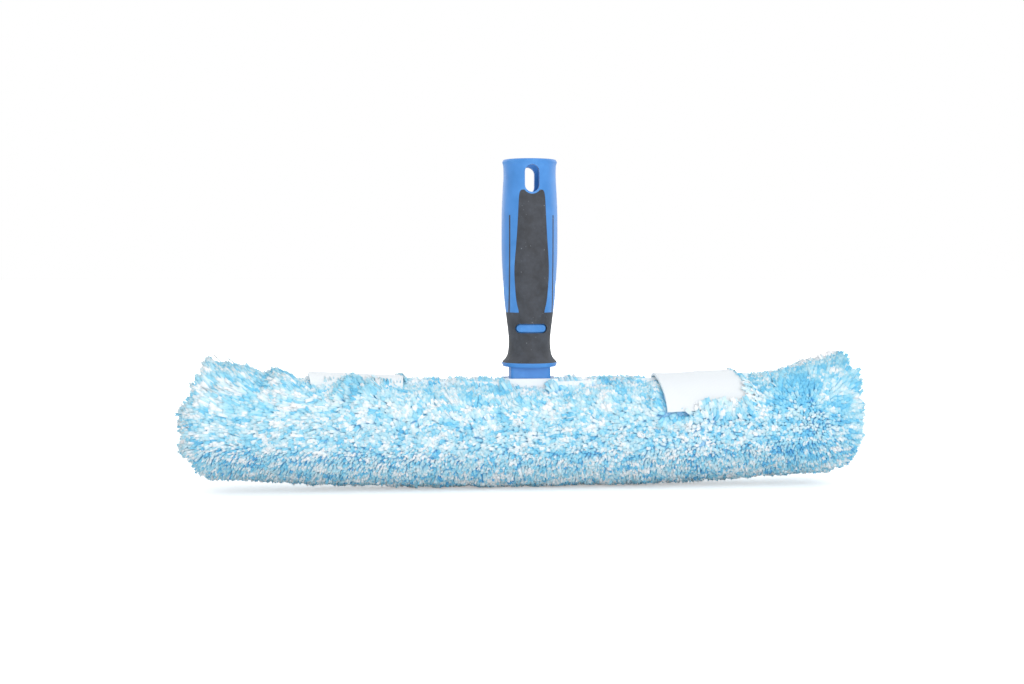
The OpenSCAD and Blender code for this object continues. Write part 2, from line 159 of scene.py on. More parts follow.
# What is added to the tufts' height over the cloth at places on the sleeve
RISE = {"wide": 1.0 * MM, "fine": 1.2 * MM, "hump": 6 * MM, "shoulder": 1.5 * MM, "left_end": 5.5 * MM,
        "right_end": 3.5 * MM, "lip": 1.5 * MM, "front_lip": 3.2 * MM, "over_strap": 4.6 * MM,
        "left_edge": 1.4 * MM, "right_edge": 2.4 * MM, "beside": 1.6 * MM, "neck": 4.2 * MM,
        "white": 2.0 * MM, "loose": 0.35 * MM}
RISE_WIDE_SIZE = 16 * MM
RISE_FINE_SIZE = 5 * MM
HEIGHT_UNDER_STRAP = ROOT_DEPTH - 2 * MM
HEIGHT_LEAST = 4.4 * MM
HEIGHT_MOST = 16 * MM

# The tufts' share of blue: its even level, how it varies, and where it changes; the low share and the most
# that it reaches below are painted shade of the underside
TINT = {"even": 0.47, "patch": 0.48, "fine": 0.7, "loose": 0.1, "low": 0.03, "right": 0.1, "crest": 0.07,
        "sky": 0.35, "white": 0.4, "most": 0.86}
TINT_STREAK = 2.4
TINT_PATCH_SIZE = 3.2 * MM
TINT_FINE_SIZE = 1.5 * MM
SKY_SIZE = 9 * MM

# The tufts' half width in mm, and what thins it on the underside and towards the left end
WIDE = {"even": 1.12, "low": 0.3, "left": 0.15}
WIDER_OVER_STRAP = 0.25 * MM
# The share of loose strands, and how thin and how long they are against the others
STRAY_SHARE = 0.012
STRAY_WIDE = 0.3
STRAY_LONG = 1.3
STRAY_REACH = 1.5
# A tuft that is cut back keeps at least this share of its length
CUT_LEAST = 0.3
# The lowest height over the table at which a strand isn't yet pressed flat on it
TABLE_REST = 0.9 * MM


# Finishes

def srgb(code):
    """A hex colour as the linear colour that a socket takes."""
    parts = [int(code[i:i + 2], 16) / 255 for i in (1, 3, 5)]
    return [c / 12.92 if c <= 0.04045 else ((c + 0.055) / 1.055) ** 2.4 for c in parts] + [1.0]


def add(tree, kind, inputs=(), stops=(), **settings):
    """Adds a node. An input is a value or the socket that feeds it, and stops are a ramp's colours."""
    made = tree.nodes.new("ShaderNode" + kind)
    for name, value in settings.items():
        setattr(made, name, value)
    for key, value in dict(inputs).items():
        if isinstance(value, bpy.types.NodeSocket):
            tree.links.new(value, made.inputs[key])
        else:
            made.inputs[key].default_value = value
    for i, (at, colour) in enumerate(stops):
        element = made.color_ramp.elements[i] if i < 2 else made.color_ramp.elements.new(at)
        element.position = at
        element.color = srgb(colour)
    return made


def blank(name, **sockets):
    """A new material, its node tree and its shader with these sockets set."""
    material = bpy.data.materials.new(name)
    material.use_nodes = True
    tree = material.node_tree
    shader = tree.nodes["Principled BSDF"]
    for key, value in sockets.items():
        shader.inputs[key.replace("_", " ")].default_value = value
    return material, tree, shader


def patches(tree, size, detail, **more):
    """Noise over the object, in patches about size across."""
    inputs = {"Vector": add(tree, "TexCoord").outputs["Object"], "Scale": 1 / size, "Detail": detail, **more}
    return add(tree, "TexNoise", inputs).outputs["Fac"]


def paint(tree, shader, value, *stops):
    """Colours the surface by a ramp over a value."""
    ramp = add(tree, "ValToRGB", {"Fac": value}, stops=stops)
    tree.links.new(ramp.outputs["Color"], shader.inputs["Base Color"])


def dull(tree, shader, value, low, high, start=0.0, end=1.0):
    """Makes the surface rougher, from low to high, as a value goes from start to end."""
    rough = add(tree, "MapRange", {"Value": value, "From Min": start, "From Max": end,
                                   "To Min": low, "To Max": high})
    tree.links.new(rough.outputs["Result"], shader.inputs["Roughness"])


def emboss(tree, shader, value, strength, lift, **settings):
    """Raises the surface by a value, up to lift."""
    bump = add(tree, "Bump", {"Height": value, "Strength": strength, "Distance": lift}, **settings)
    tree.links.new(bump.outputs["Normal"], shader.inputs["Normal"])


def moulded_polypropylene():
    """Satin blue polypropylene: even colour, a fine spark-eroded grain, a few dull rubs."""
    material, tree, shader = blank("moulded_polypropylene_blue", IOR=1.49)
    rub = patches(tree, 9 * MM, 4.0)
    paint(tree, shader, rub, (0.3, "#3a80c8"), (0.8, "#5297dc"), (0.62, "#458ad3"))
    dull(tree, shader, rub, 0.36, 0.5, 0.3, 0.7)
    emboss(tree, shader, patches(tree, 0.5 * MM, 2.0), 0.12, 0.05 * MM)
    return material


def moulded_rubber():
    """Charcoal thermoplastic rubber: matt, slightly mottled, with pale specks of lint and scuffs."""
    material, tree, shader = blank("moulded_rubber_charcoal", IOR=1.5)
    mottle = patches(tree, 7 * MM, 5.0, Roughness=0.65)
    charcoal = add(tree, "ValToRGB", {"Fac": mottle}, stops=[(0.3, "#2b2e34"), (0.7, "#474b53")])
    lint = add(tree, "MapRange", {"Value": patches(tree, 1.3 * MM, 2.0), "From Min": 0.7, "From Max": 0.78,
                                  "To Min": 0.0, "To Max": 0.5})
    mixed = add(tree, "Mix", {0: lint.outputs["Result"], 6: charcoal.outputs["Color"], 7: srgb("#9fa6ad")},
                data_type="RGBA")
    tree.links.new(mixed.outputs[2], shader.inputs["Base Color"])
    dull(tree, shader, mottle, 0.62, 0.8, 0.3, 0.7)
    emboss(tree, shader, patches(tree, 0.8 * MM, 3.0), 0.3, 0.08 * MM)
    return material


def natural_polypropylene():
    """Uncoloured polypropylene of the bar: milky white, smooth, a touch of flow marking."""
    material, tree, shader = blank("moulded_polypropylene_natural", IOR=1.49)
    flow = patches(tree, 20 * MM, 3.0)
    paint(tree, shader, flow, (0.3, "#dfe6eb"), (0.7, "#eef2f5"))
    dull(tree, shader, flow, 0.35, 0.5)
    return material


def zinc_plated_steel():
    """Zinc-plated steel of the screw and washer: bluish grey metal with a cloudy gloss."""
    material, tree, shader = blank("zinc_plated_steel", Metallic=1.0)
    cloud = patches(tree, 3 * MM, 3.0)
    paint(tree, shader, cloud, (0.3, "#aeb4bb"), (0.7, "#cdd1d6"))
    dull(tree, shader, cloud, 0.25, 0.5)
    return material


# A wave texture of scale 1 draws about this many bands in a metre
BANDS = 3.0


def cloth(name, pale, shade, thread, coords, lift):
    """Plain woven or knitted polyester: crossed threads that stand up by lift, thread metres apart."""
    material, tree, shader = blank(name, Roughness=0.85, IOR=1.5)
    place = add(tree, "TexCoord").outputs[coords]
    waves = [add(tree, "TexWave", {"Vector": place, "Scale": 1 / thread / BANDS, "Distortion": 0.4,
                                   "Detail": 1.0, "Detail Scale": 1.0},
                 wave_type="BANDS", bands_direction=way) for way in ("X", "Y")]
    weave = add(tree, "Math", {0: waves[0].outputs["Fac"], 1: waves[1].outputs["Fac"]}, operation="ADD")
    half = add(tree, "Math", {0: weave.outputs[0], 1: 0.5}, operation="MULTIPLY").outputs[0]
    paint(tree, shader, half, (0.1, shade), (0.8, pale))
    emboss(tree, shader, half, 0.5, lift)
    return material


def hook_tape():
    """Nylon hook tape: rows of small stiff hooks, drawn as raised dots 1.2 mm apart, with painted shade
    between them.
    """
    material, tree, shader = blank("hook_tape_nylon", Roughness=0.5, IOR=1.53)
    place = add(tree, "TexCoord").outputs["Object"]
    dots = add(tree, "TexVoronoi", {"Vector": place, "Scale": 1 / (1.2 * MM), "Randomness": 0.25})
    # Painted shade: the tape darkens with the distance from each raised dot, into the hollows between the
    # hooks.
    paint(tree, shader, dots.outputs["Distance"], (0.1, "#f1f4f5"), (0.7, "#b9c2c8"))
    emboss(tree, shader, dots.outputs["Distance"], 0.8, 0.3 * MM, invert=True)
    return material


def loop_tape():
    """Brushed nylon loop tape: a low tangled nap, so it is dull and mottled, the mottling painted shade that
    darkens the nap's hollows.
    """
    material, tree, shader = blank("loop_tape_nylon", Roughness=0.95, IOR=1.53)
    nap = patches(tree, 0.9 * MM, 4.0, Distortion=1.5)
    # Painted shade: the colour follows the nap's height, so its hollows are darker.
    paint(tree, shader, nap, (0.3, "#c5ced4"), (0.65, "#f3f6f8"))
    emboss(tree, shader, nap, 0.9, 0.4 * MM)
    return material


def cut_microfibre():
    """Cut polyester pile: white and sky blue yarns, with painted shade that darkens them to blue towards the
    root, where the pile shades itself.
    """
    material, tree, shader = blank("cut_microfibre_pile", Roughness=0.9, IOR=1.45)
    tint = add(tree, "Attribute", attribute_name="tint").outputs["Fac"]
    along = add(tree, "Attribute", attribute_name="along").outputs["Fac"]
    yarn = add(tree, "ValToRGB", {"Fac": tint},
               stops=[(0.0, "#fafafc"), (1.0, "#60b0e2"), (0.24, "#f0f6fa"), (0.45, "#cbeaf5"),
                      (0.66, "#9fddf3"), (0.86, "#7bcdf0")])
    # Painted shade: the ramp over the place along the tuft darkens its root to blue, standing for the shade
    # deep in the pile.
    painted_root_shade = add(tree, "ValToRGB", {"Fac": along},
                stops=[(0.35, "#8ccaf0"), (0.85, "#ffffff"), (0.6, "#e6f6fc")])
    mixed = add(tree, "Mix", {0: 1.0, 6: yarn.outputs["Color"], 7: painted_root_shade.outputs["Color"]},
                data_type="RGBA", blend_type="MULTIPLY")
    tree.links.new(mixed.outputs[2], shader.inputs["Base Color"])
    return material


def pile_ground():
    """The dense foot of the pile, seen only between tufts: dull and uneven, its light blue partly the yarns'
    own and partly painted shade, and painted darker in its hollows.
    """
    material, tree, shader = blank("cut_microfibre_ground", Roughness=0.95, IOR=1.45)
    fibre = patches(tree, 1.2 * MM, 3.0)
    # Painted shade: the colour follows the same noise as the bump, so the hollows are a deeper blue.
    paint(tree, shader, fibre, (0.3, "#8fcdf6"), (0.7, "#c9ebff"))
    emboss(tree, shader, fibre, 0.8, 0.6 * MM)
    return material


BLUE = moulded_polypropylene()
RUBBER = moulded_rubber()
NATURAL = natural_polypropylene()
ZINC = zinc_plated_steel()
BACKING = cloth("knitted_backing", "#f4f7f9", "#d5dde2", 0.9 * MM, "Object", 0.2 * MM)
TAPE = cloth("woven_tape_white", "#ebeff2", "#dde3e7", 0.7 * MM, "UV", 0.12 * MM)
BINDING = cloth("woven_binding_white", "#eef2f5", "#e0e6ea", 0.7 * MM, "Object", 0.12 * MM)
HOOKS = hook_tape()
LOOPS = loop_tape()
PILE = cut_microfibre()
GROUND = pile_ground()


# Making pieces

# Points nearer than this are one point, and edges shorter than this are none
SAME_POINT = 0.002 * MM
NO_EDGE = 0.001 * MM
# Faces that meet at more than this show an edge: on plastic, on the pile's ground and on tape
PLASTIC_CREASE = math.radians(28)
GROUND_CREASE = math.radians(40)
TAPE_CREASE = math.radians(50)


def show(name, mesh, material, body="root"):
    """Puts a finished mesh in the scene as a piece that rides on a body, or on none yet."""
    thing = bpy.data.objects.new(name, mesh)
    bpy.context.scene.collection.objects.link(thing)
    mesh.materials.clear()
    mesh.materials.append(material)
    if body:
        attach(thing, body)
    return thing


def merged_copy(node):
    """A bmesh of a CAD node with its loose triangles joined."""
    bm = bmesh.new()
    bm.from_mesh(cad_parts[node].data)
    bmesh.ops.remove_doubles(bm, verts=bm.verts, dist=SAME_POINT)
    return bm


def to_mesh(bm, name, crease):
    """The bmesh as a mesh, smooth except where faces meet at more than crease radians."""
    for face in bm.faces:
        face.smooth = True
    for edge in bm.edges:
        edge.smooth = len(edge.link_faces) == 2 and edge.calc_face_angle(0) < crease
    mesh = bpy.data.meshes.new(name)
    bm.to_mesh(mesh)
    bm.free()
    return mesh


def dressed(node, name, material):
    """A smooth-shaded piece with a CAD node's own shape, standing for that node."""
    bm = merged_copy(node)
    bmesh.ops.dissolve_degenerate(bm, edges=bm.edges, dist=NO_EDGE)
    thing = show(name, to_mesh(bm, name, PLASTIC_CREASE), material)
    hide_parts(node)
    return thing


def finish_node(node, material):
    """Gives a CAD node that stays in the scene its finish."""
    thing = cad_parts[node]
    thing.data.materials.clear()
    thing.data.materials.append(material)


def along_bow(s, y, z):
    """Points at s along the bow, y across it and z above its lower edge."""
    turn = s / BOW_MID_R
    return np.stack([(BOW_R - z) * np.sin(turn), y + 0 * s, BOW_R - (BOW_R - z) * np.cos(turn)], -1)


def bow_vector(s, x, y, z):
    """A direction given along, across and up at s on the bow, as a direction in the frame."""
    turn = s / BOW_MID_R
    return np.stack([x * np.cos(turn) - z * np.sin(turn), y + 0 * s,
                     x * np.sin(turn) + z * np.cos(turn)], -1)


def section(p):
    """The pile's section at p along it from the top, rear positive: place y, z and normal y, z."""
    side = np.sign(p)
    q = np.abs(p)
    angle = (np.minimum(q, QUARTER) + np.clip(q - QUARTER - UPRIGHT, 0, QUARTER)) / PILE_R
    drop = np.clip(q - QUARTER, 0, UPRIGHT)
    ny = side * np.sin(angle)
    nz = np.cos(angle)
    return PILE_R * ny, ARC_Z - drop + PILE_R * nz, ny, nz


def smooth(low, high, value):
    """0 below low, 1 above high, and an easy step between."""
    t = np.clip((value - low) / (high - low), 0, 1)
    return t * t * (3 - 2 * t)


def slit_half(x):
    """Half the slit's width at x along it."""
    t = np.clip((np.abs(x) - SLIT_FLAT) / SLIT_RUN, 0, 1)
    return SLIT_GAP + (SLIT_WIDE - SLIT_GAP) * (1 + np.cos(np.pi * t)) / 2


# The pile's tufts

# A point of the CAD sleeve this near to its outline is on its outside
OUTSIDE = 0.3 * MM


def tuft_template():
    """One tuft on a unit line: three yarns twisted together, blunt and a little splayed at the end."""
    bm = bmesh.new()
    bmesh.ops.create_circle(bm, cap_ends=True, segments=TUFT_SIDES, radius=1)
    bm.verts.ensure_lookup_table()
    for groove in list(bm.verts)[::2]:
        groove.co *= TUFT_GROOVE
    top = bm.faces[:]
    bmesh.ops.reverse_faces(bm, faces=top)
    twist = Matrix.Rotation(TUFT_TWIST, 3, "Z")
    foot_r = TUFT_RINGS[0][1]
    bmesh.ops.scale(bm, verts=bm.verts, vec=(foot_r, foot_r, 1))
    for (low, r_low), (high, r_high) in zip(TUFT_RINGS, TUFT_RINGS[1:]):
        made = bmesh.ops.extrude_face_region(bm, geom=top)
        verts = [v for v in made["geom"] if isinstance(v, bmesh.types.BMVert)]
        top = [f for f in made["geom"] if isinstance(f, bmesh.types.BMFace)]
        bmesh.ops.translate(bm, verts=verts, vec=(0, 0, high - low))
        bmesh.ops.scale(bm, verts=verts, vec=(r_high / r_low, r_high / r_low, 1))
        bmesh.ops.rotate(bm, verts=verts, cent=(0, 0, 0), matrix=twist)
    # The yarns' ends stand a little past the grooves between them
    groove_r = (1 + TUFT_GROOVE) / 2 * TUFT_RINGS[-1][1]
    for v in {v for f in top for v in f.verts}:
        if math.hypot(v.co.x, v.co.y) < groove_r:
            v.co.z -= TUFT_END
    bmesh.ops.poke(bm, faces=top)
    bmesh.ops.recalc_face_normals(bm, faces=bm.faces)
    bmesh.ops.triangulate(bm, faces=bm.faces)
    return bm


def pattern_of(bm):
    """A bmesh as its points and its triangles, to be set out many times."""
    bm.verts.index_update()
    points = np.array([v.co for v in bm.verts])
    faces = np.array([[v.index for v in f.verts] for f in bm.faces])
    bm.free()
    return points, faces


def set_out(name, points, faces, values, outward):
    """One mesh of many copies: points is copies by points by 3, and values are vertex attributes.

    Fine fibres scatter the light, so a copy is shaded partly as the nap that it stands in, which faces
    outward.
    """
    copies, count = points.shape[:2]
    mesh = bpy.data.meshes.new(name)
    mesh.vertices.add(copies * count)
    mesh.vertices.foreach_set("co", points.astype(np.float32).ravel())
    corners = (faces[None] + count * np.arange(copies)[:, None, None]).astype(np.int32).ravel()
    mesh.loops.add(len(corners))
    mesh.loops.foreach_set("vertex_index", corners)
    mesh.polygons.add(len(corners) // 3)
    mesh.polygons.foreach_set("loop_start", np.arange(0, len(corners), 3, dtype=np.int32))
    mesh.update(calc_edges=True)
    mesh.shade_smooth()
    for key, numbers in values.items():
        attribute = mesh.attributes.new(key, "FLOAT", "POINT")
        attribute.data.foreach_set("value", numbers.astype(np.float32).ravel())
    own = np.empty(copies * count * 3, np.float32)
    mesh.vertex_normals.foreach_get("vector", own)
    own = own.reshape(-1, 3) + NAP * np.repeat(outward, count, 0)
    own /= np.linalg.norm(own, axis=1)[:, None] + 1e-9
    mesh.normals_split_custom_set_from_vertices(own)
    return mesh


def field(places, size, seed):
    """A smooth random vector at each place, with patches about size across."""
    shift = Vector((seed * 7.3, seed * 3.1, seed * 5.7))
    return np.array([noise.noise_vector(Vector(p) / size + shift) for p in places])


def wrap_roots(rng):
    """Stations of the tufts on the wrap: s along the bow and p along the section."""
    rows = round(2 * SECTION_HALF / PITCH)
    columns = round(2 * WRAP_HALF / PITCH)
    i, j = np.meshgrid(np.arange(columns), np.arange(rows), indexing="ij")
    i = i + 0.5 * (j % 2)
    s = -WRAP_HALF + (i.ravel() + 0.5 + rng.uniform(-JITTER, JITTER, i.size)) * 2 * WRAP_HALF / columns
    p = -SECTION_HALF + (j.ravel() + 0.5 + rng.uniform(-JITTER, JITTER, i.size)) * 2 * SECTION_HALF / rows
    return np.clip(s, -WRAP_HALF, WRAP_HALF), p


# The face of an end's dome: how far it is crowned, the turn of its curve, and what is left in its middle
FACE_CROWN = 0.8 * MM
FACE_TURN = 1.5
FACE_LEFT = 1 * MM
# Half the step over which the dome's slope is measured
SLOPE_STEP = 0.5 * MM


def end_roots(rng):
    """Stations on an end's dome: reach past the wrap, inset from the section, p along it and tilt."""
    t = np.linspace(0, 1, 60)
    reach = END_LEN * np.sin(np.pi / 2 * t)
    inset = END_DRAW * (1 - np.cos(np.pi / 2 * t)) - END_SWELL * np.sin(np.pi * t) * (1 - t)
    face = np.linspace(END_DRAW, PILE_R - FACE_LEFT, 30)[1:]
    crown = FACE_CROWN * np.sin((face - END_DRAW) / (PILE_R - END_DRAW) * FACE_TURN)
    reach = np.concatenate([reach, END_LEN + crown])
    inset = np.concatenate([inset, face])
    path = np.concatenate([[0], np.cumsum(np.hypot(np.diff(reach), np.diff(inset)))])
    rings = []
    for at in np.arange(PITCH * 0.5, path[-1], PITCH):
        x = np.interp(at, path, reach)
        e = np.interp(at, path, inset)
        ahead = np.interp(at + SLOPE_STEP, path, reach) - np.interp(at - SLOPE_STEP, path, reach)
        inward = np.interp(at + SLOPE_STEP, path, inset) - np.interp(at - SLOPE_STEP, path, inset)
        tilt = math.atan2(inward, ahead)
        # The tufts stand evenly along the ring itself, whose arcs are shorter than the section's
        share = 1 - e / PILE_R
        count = max(int((share * 4 * QUARTER + 2 * UPRIGHT) / PITCH), 4)
        arc = max(share, 0.02) * QUARTER
        stops = (-2 * arc - UPRIGHT, -arc - UPRIGHT, -arc, arc, arc + UPRIGHT, 2 * arc + UPRIGHT)
        at_p = (-SECTION_HALF, -QUARTER - UPRIGHT, -QUARTER, QUARTER, QUARTER + UPRIGHT, SECTION_HALF)
        along = (np.arange(count) + rng.uniform(0, 2 * JITTER, count)) / count * 2 - 1
        p = np.interp(along * stops[-1], stops, at_p)
        rings.append(np.stack([np.full(count, x), np.full(count, e), p, np.full(count, tilt)], -1))
    return np.concatenate(rings)


def all_roots(rng):
    """Every tuft's place on the pile's outside and the normal there, with s along the bow."""
    s, p = wrap_roots(rng)
    y, z, ny, nz = section(p)
    slit_edge = slit_half(s) + TAPE_T + LIP_CLEAR
    keep = ~((z > BAR_MID) & (np.abs(y) < slit_edge) & (np.abs(s) < SLIT_HALF_LEN))
    s, y, z, ny, nz = (a[keep] for a in (s, y, z, ny, nz))
    stations = [(s, y, z, 0 * s, ny, nz)]
    for side in (-1, 1):
        x, e, p, tilt = end_roots(rng).T
        y, z, ny, nz = section(p)
        spot = (side * (WRAP_HALF + x), y - e * ny, z - e * nz)
        facing = (side * np.sin(tilt), ny * np.cos(tilt), nz * np.cos(tilt))
        stations.append(spot + facing)
    s, y, z, nx, ny, nz = (np.concatenate(parts) for parts in zip(*stations))
    return s, along_bow(s, y, z), bow_vector(s, nx, ny, nz)


def strap_slip(angle):
    """How far a strap has slipped outwards along the bar at an angle from the top."""
    return STRAP_SLIP * smooth(0, STRAP_A, angle)


def strap_draw(side, across, angle):
    """How far a point of a strap's outer half is drawn in at an angle from the top."""
    return STRAP_DRAW[side] * smooth(0.25, 1, across / (STRAP_W / 2)) * smooth(0.7, 0.1, np.abs(angle))


def by_strap(places, side):
    """Places as a strap sees them: across it, the angle from the top to its free end, and the radius."""
    turn = side * STRAP_AT / BOW_MID_R
    x = places[..., 0] * math.cos(turn) + (places[..., 2] - BOW_R) * math.sin(turn)
    z = BOW_R + (places[..., 2] - BOW_R) * math.cos(turn) - places[..., 0] * math.sin(turn)
    angle = np.arctan2(-side * places[..., 1], z - ARC_Z)
    across = side * x - strap_slip(angle)
    return across + strap_draw(side, across, angle), angle, np.hypot(places[..., 1], z - ARC_Z)


def round_straps(places):
    """How each place lies to the straps, as arrays by name.

    It may be under one, on its pads, near its free end, below the end where tufts reach over it,
    near an edge, or beside the outer edge, where tufts lean in over it.
    """
    lie = {key: np.zeros(len(places)) for key in ("under", "on_pad", "near", "below", "edge", "beside")}
    half = STRAP_W / 2
    for side in (-1, 1):
        across, angle, _ = by_strap(places, side)
        spread = np.abs(across)
        lie["under"] += (spread < half - 0.3 * MM) & (angle > -HINGE_A) & (angle < STRAP_A)
        on_pad = (spread < PAD_W / 2 + 0.6 * MM) & (angle > PAD_FROM - 0.05) & (angle < STRAP_A)
        lie["on_pad"] += on_pad
        past = (angle - STRAP_A) * PILE_R
        near = smooth(half + 3 * MM, half - 1 * MM, spread)
        near = near * smooth(0, 1 * MM, past) * smooth(8 * MM, 5 * MM, past)
        lie["near"] += near
        lie["below"] += near * smooth(-0.8 * half, 0.3 * half, across)
        edge = smooth(half - 0.4 * MM, half + 0.1 * MM, spread)
        edge = edge * smooth(half + 5 * MM, half + 2.5 * MM, spread)
        edge = edge * (smooth(0.1, 0.45, angle) * smooth(STRAP_A + 0.3, STRAP_A, angle))
        lie["edge"] += edge
        lie["beside"] += side * edge * smooth(0.35, 0.7, angle) * (across > 0)
    lie["under"] = lie["under"] > 0
    return lie


def over_straps(points, under):
    """Lifts what reaches over a strap off its face, copy by copy; what is under a strap stays."""
    for side in (-1, 1):
        across, angle, radius = by_strap(points, side)
        face = STRAP_MID_R + STRAP_FACE + STRAP_LIFT * np.cos(angle) ** 2
        on_it = (np.abs(across) < STRAP_W / 2 + 0.2 * MM) & (radius > PILE_R - 0.6 * MM)
        on_it &= (angle > -HINGE_A - 0.05) & (angle < STRAP_A + 0.02) & ~under[:, None]
        grow = np.where(on_it, np.maximum(face + 0.3 * (radius - PILE_R), radius) / radius, 1)
        turn = side * STRAP_AT / BOW_MID_R
        centre = along_bow(np.array(side * STRAP_AT), np.array(0.0), np.array(ARC_Z))
        axis = np.array([math.cos(turn), 0, math.sin(turn)])
        away = points - centre
        along = (away[..., 0] * math.cos(turn) + away[..., 2] * math.sin(turn))[..., None] * axis
        points = centre + along + (away - along) * grow[..., None]
    return points


def lay_of(s, place, normal, lie, rng):
    """The way each tuft leans, as a unit vector on the pile's surface, and how far it bends over."""
    x, y = place[:, 0], place[:, 1]
    up = normal[:, 2]
    below, beside = lie["below"], lie["beside"]
    left = smooth(-60 * MM, -150 * MM, x)
    right = smooth(120 * MM, 160 * MM, x) * (y < 0)
    # At the right end the strands part along a slanting line and fan out from it
    parting = np.clip((place[:, 2] - PARTING_LOW[2]) / (PARTING_TOP[2] - PARTING_LOW[2]), 0, 1)[:, None]
    fan = place - (np.array(PARTING_LOW) * (1 - parting) + np.array(PARTING_TOP) * parting)
    away = np.linalg.norm(fan, axis=1)
    fan /= away[:, None] + 1e-9
    # Along the slit they lean in over it, apart from its middle, where the neck comes out
    lip = np.abs(y) - slit_half(s)
    over_slit = smooth(7 * MM, 2.5 * MM, lip) * (up > 0.6) * (np.abs(s) < SLIT_HALF_LEN)
    over_slit = over_slit * smooth(12 * MM, 17 * MM, np.abs(s))
    lean = LEAN["wide"] * field(place, LEAN_WIDE_SIZE, 1) + LEAN["fine"] * field(place, LEAN_FINE_SIZE, 2)
    lean += rng.normal(0, LEAN["loose"], place.shape)
    lean += np.outer(left, LEAN["left"]) + np.outer(1 - left - right, LEAN["middle"])
    lean += fan * (LEAN["fan"] * right)[:, None] + np.outer(smooth(0.4, 0.8, up) * (y < 0), LEAN["crest"])
    lean[:, 1] -= LEAN["slit"] * np.sign(y) * over_slit
    lean[:, 2] += LEAN["over_strap"] * below - LEAN["off_strap"] * (lie["near"] - below)
    lean[:, 0] -= LEAN["beside"] * beside
    # On the ends' faces they fall open from the middle
    face = smooth(0.5, 0.9, np.abs(normal[:, 0])) * (np.abs(s) > WRAP_HALF)
    open_out = place * (0, 1, 1) - along_bow(s, 0 * s, 0 * s + PILE_TOP / 2) * (0, 0, 1)
    face_bend = BEND["face"] * smooth(0, FACE_BEND_AT, np.linalg.norm(open_out, axis=1))
    lean += open_out * (LEAN["open"] * face / OPEN_AT)[:, None]
    lean -= normal * np.sum(lean * normal, 1)[:, None]
    lean /= np.linalg.norm(lean, axis=1)[:, None] + 1e-9
    low = smooth(0.25, -0.45, up)
    bend = BEND["even"] + BEND["left"] * left - BEND["crest"] * smooth(0.5, 1.0, up)
    bend = bend * (1 - BEND["low"] * low) * (1 - BEND["parting"] * right * smooth(20 * MM, 3 * MM, away))
    bend = bend * (1 - BEND["end"] * smooth(WRAP_HALF, WRAP_HALF + 8 * MM, np.abs(s)))
    for share, target in ((over_slit, BEND["slit"]), (below, BEND["strap"]),
                          (np.abs(beside), BEND["strap"]), (face, face_bend)):
        bend += (target - bend) * np.clip(share, 0, 1)
    bend += rng.uniform(-BEND["loose"], BEND["loose"], len(s))
    return lean, np.where(lie["under"], BEND["under"], np.clip(bend, BEND["least"], 1.0))


def lengths_of(s, place, normal, lie, bend, rng):
    """Each tuft's length: even over the sleeve, with the crest's rise and fall and longer ends."""
    x, y = place[:, 0], place[:, 1]
    far = np.abs(x)
    up = normal[:, 2]
    height = ROOT_DEPTH + RISE["wide"] * field(place, RISE_WIDE_SIZE, 3)[:, 0]
    height += RISE["fine"] * field(place, RISE_FINE_SIZE, 4)[:, 0]
    height += np.interp(x / MM, *zip(*CREST)) * MM * smooth(0.35, 0.85, up)
    hump = np.exp(-((x - HUMP_X) / HUMP_W) ** 4)
    height += RISE["hump"] * hump * smooth(0.45, 0.75, up) * (y < -9 * MM)
    height += RISE["shoulder"] * smooth(140 * MM, 172 * MM, far) * smooth(-0.3, 0.5, up)
    outward = smooth(160 * MM, 176 * MM, far) * (0.3 + 0.7 * np.abs(normal[:, 0])) * smooth(-0.7, -0.2, up)
    height += np.where(x < 0, RISE["left_end"], RISE["right_end"]) * outward
    lip = smooth(6 * MM, 2 * MM, np.abs(y) - slit_half(s)) * (up > 0.6) * (np.abs(s) < SLIT_HALF_LEN)
    height += RISE["lip"] * lip * smooth(12 * MM, 17 * MM, np.abs(s))
    height += RISE["over_strap"] * lie["below"] * rng.uniform(0.7, 1.15, len(s))
    edge = np.where(x > 0, RISE["right_edge"], RISE["left_edge"]) * lie["edge"]
    height += edge + RISE["beside"] * np.abs(lie["beside"])
    neck = smooth(3.6 * MM, 2 * MM, np.abs(np.abs(s) - NECK_SIDE))
    height += RISE["neck"] * neck * (up > 0.8) * (y < 0)
    front_lip = RISE["front_lip"] * lip * smooth(15 * MM, 18 * MM, far) * smooth(75 * MM, 55 * MM, far)
    height += front_lip * (y < 0)
    white = smooth(10 * MM, 5 * MM, np.abs(x - WHITE_CREST))
    height += RISE["white"] * white * (up > 0.5) * (y > 2 * MM)
    height += rng.normal(0, RISE["loose"], len(s))
    height = np.where(lie["under"], HEIGHT_UNDER_STRAP, np.clip(height, HEIGHT_LEAST, HEIGHT_MOST))
    return height / (1 - BEND_DROP * bend)


def tints_of(place, normal, rng):
    """Each tuft's share of blue: streaks along the sleeve, deeper at the right end, and deeper below as
    painted shade of the underside.
    """
    streak = place * np.array([1 / TINT_STREAK, 1, 1])
    patch = field(streak, TINT_PATCH_SIZE, 5)[:, 0] + TINT["fine"] * field(streak, TINT_FINE_SIZE, 6)[:, 0]
    low = smooth(0.25, -0.45, normal[:, 2])
    tint = TINT["even"] + TINT["patch"] * patch
    # Painted shade: below, the tufts turn bluer, vary more and may reach the darkest blue, for the shade
    # under the sleeve.
    tint += rng.normal(0, 1, len(place)) * (TINT["loose"] + TINT["loose"] * low)
    tint += TINT["low"] * low + TINT["right"] * smooth(110 * MM, 150 * MM, place[:, 0])
    tint += TINT["crest"] * smooth(0.4, 0.8, normal[:, 2]) * (place[:, 1] < 0)
    spot = np.linalg.norm(place - np.array(SKY_PATCH), axis=1)
    tint += TINT["sky"] * np.exp(-(spot / SKY_SIZE) ** 2)
    behind = (place[:, 1] > 2 * MM) * smooth(0.6, 0.9, normal[:, 2])
    tint -= TINT["white"] * smooth(16 * MM, 8 * MM, np.abs(place[:, 0] - WHITE_CREST)) * behind
    return np.clip(tint, 0, TINT["most"] + (1 - TINT["most"]) * low)


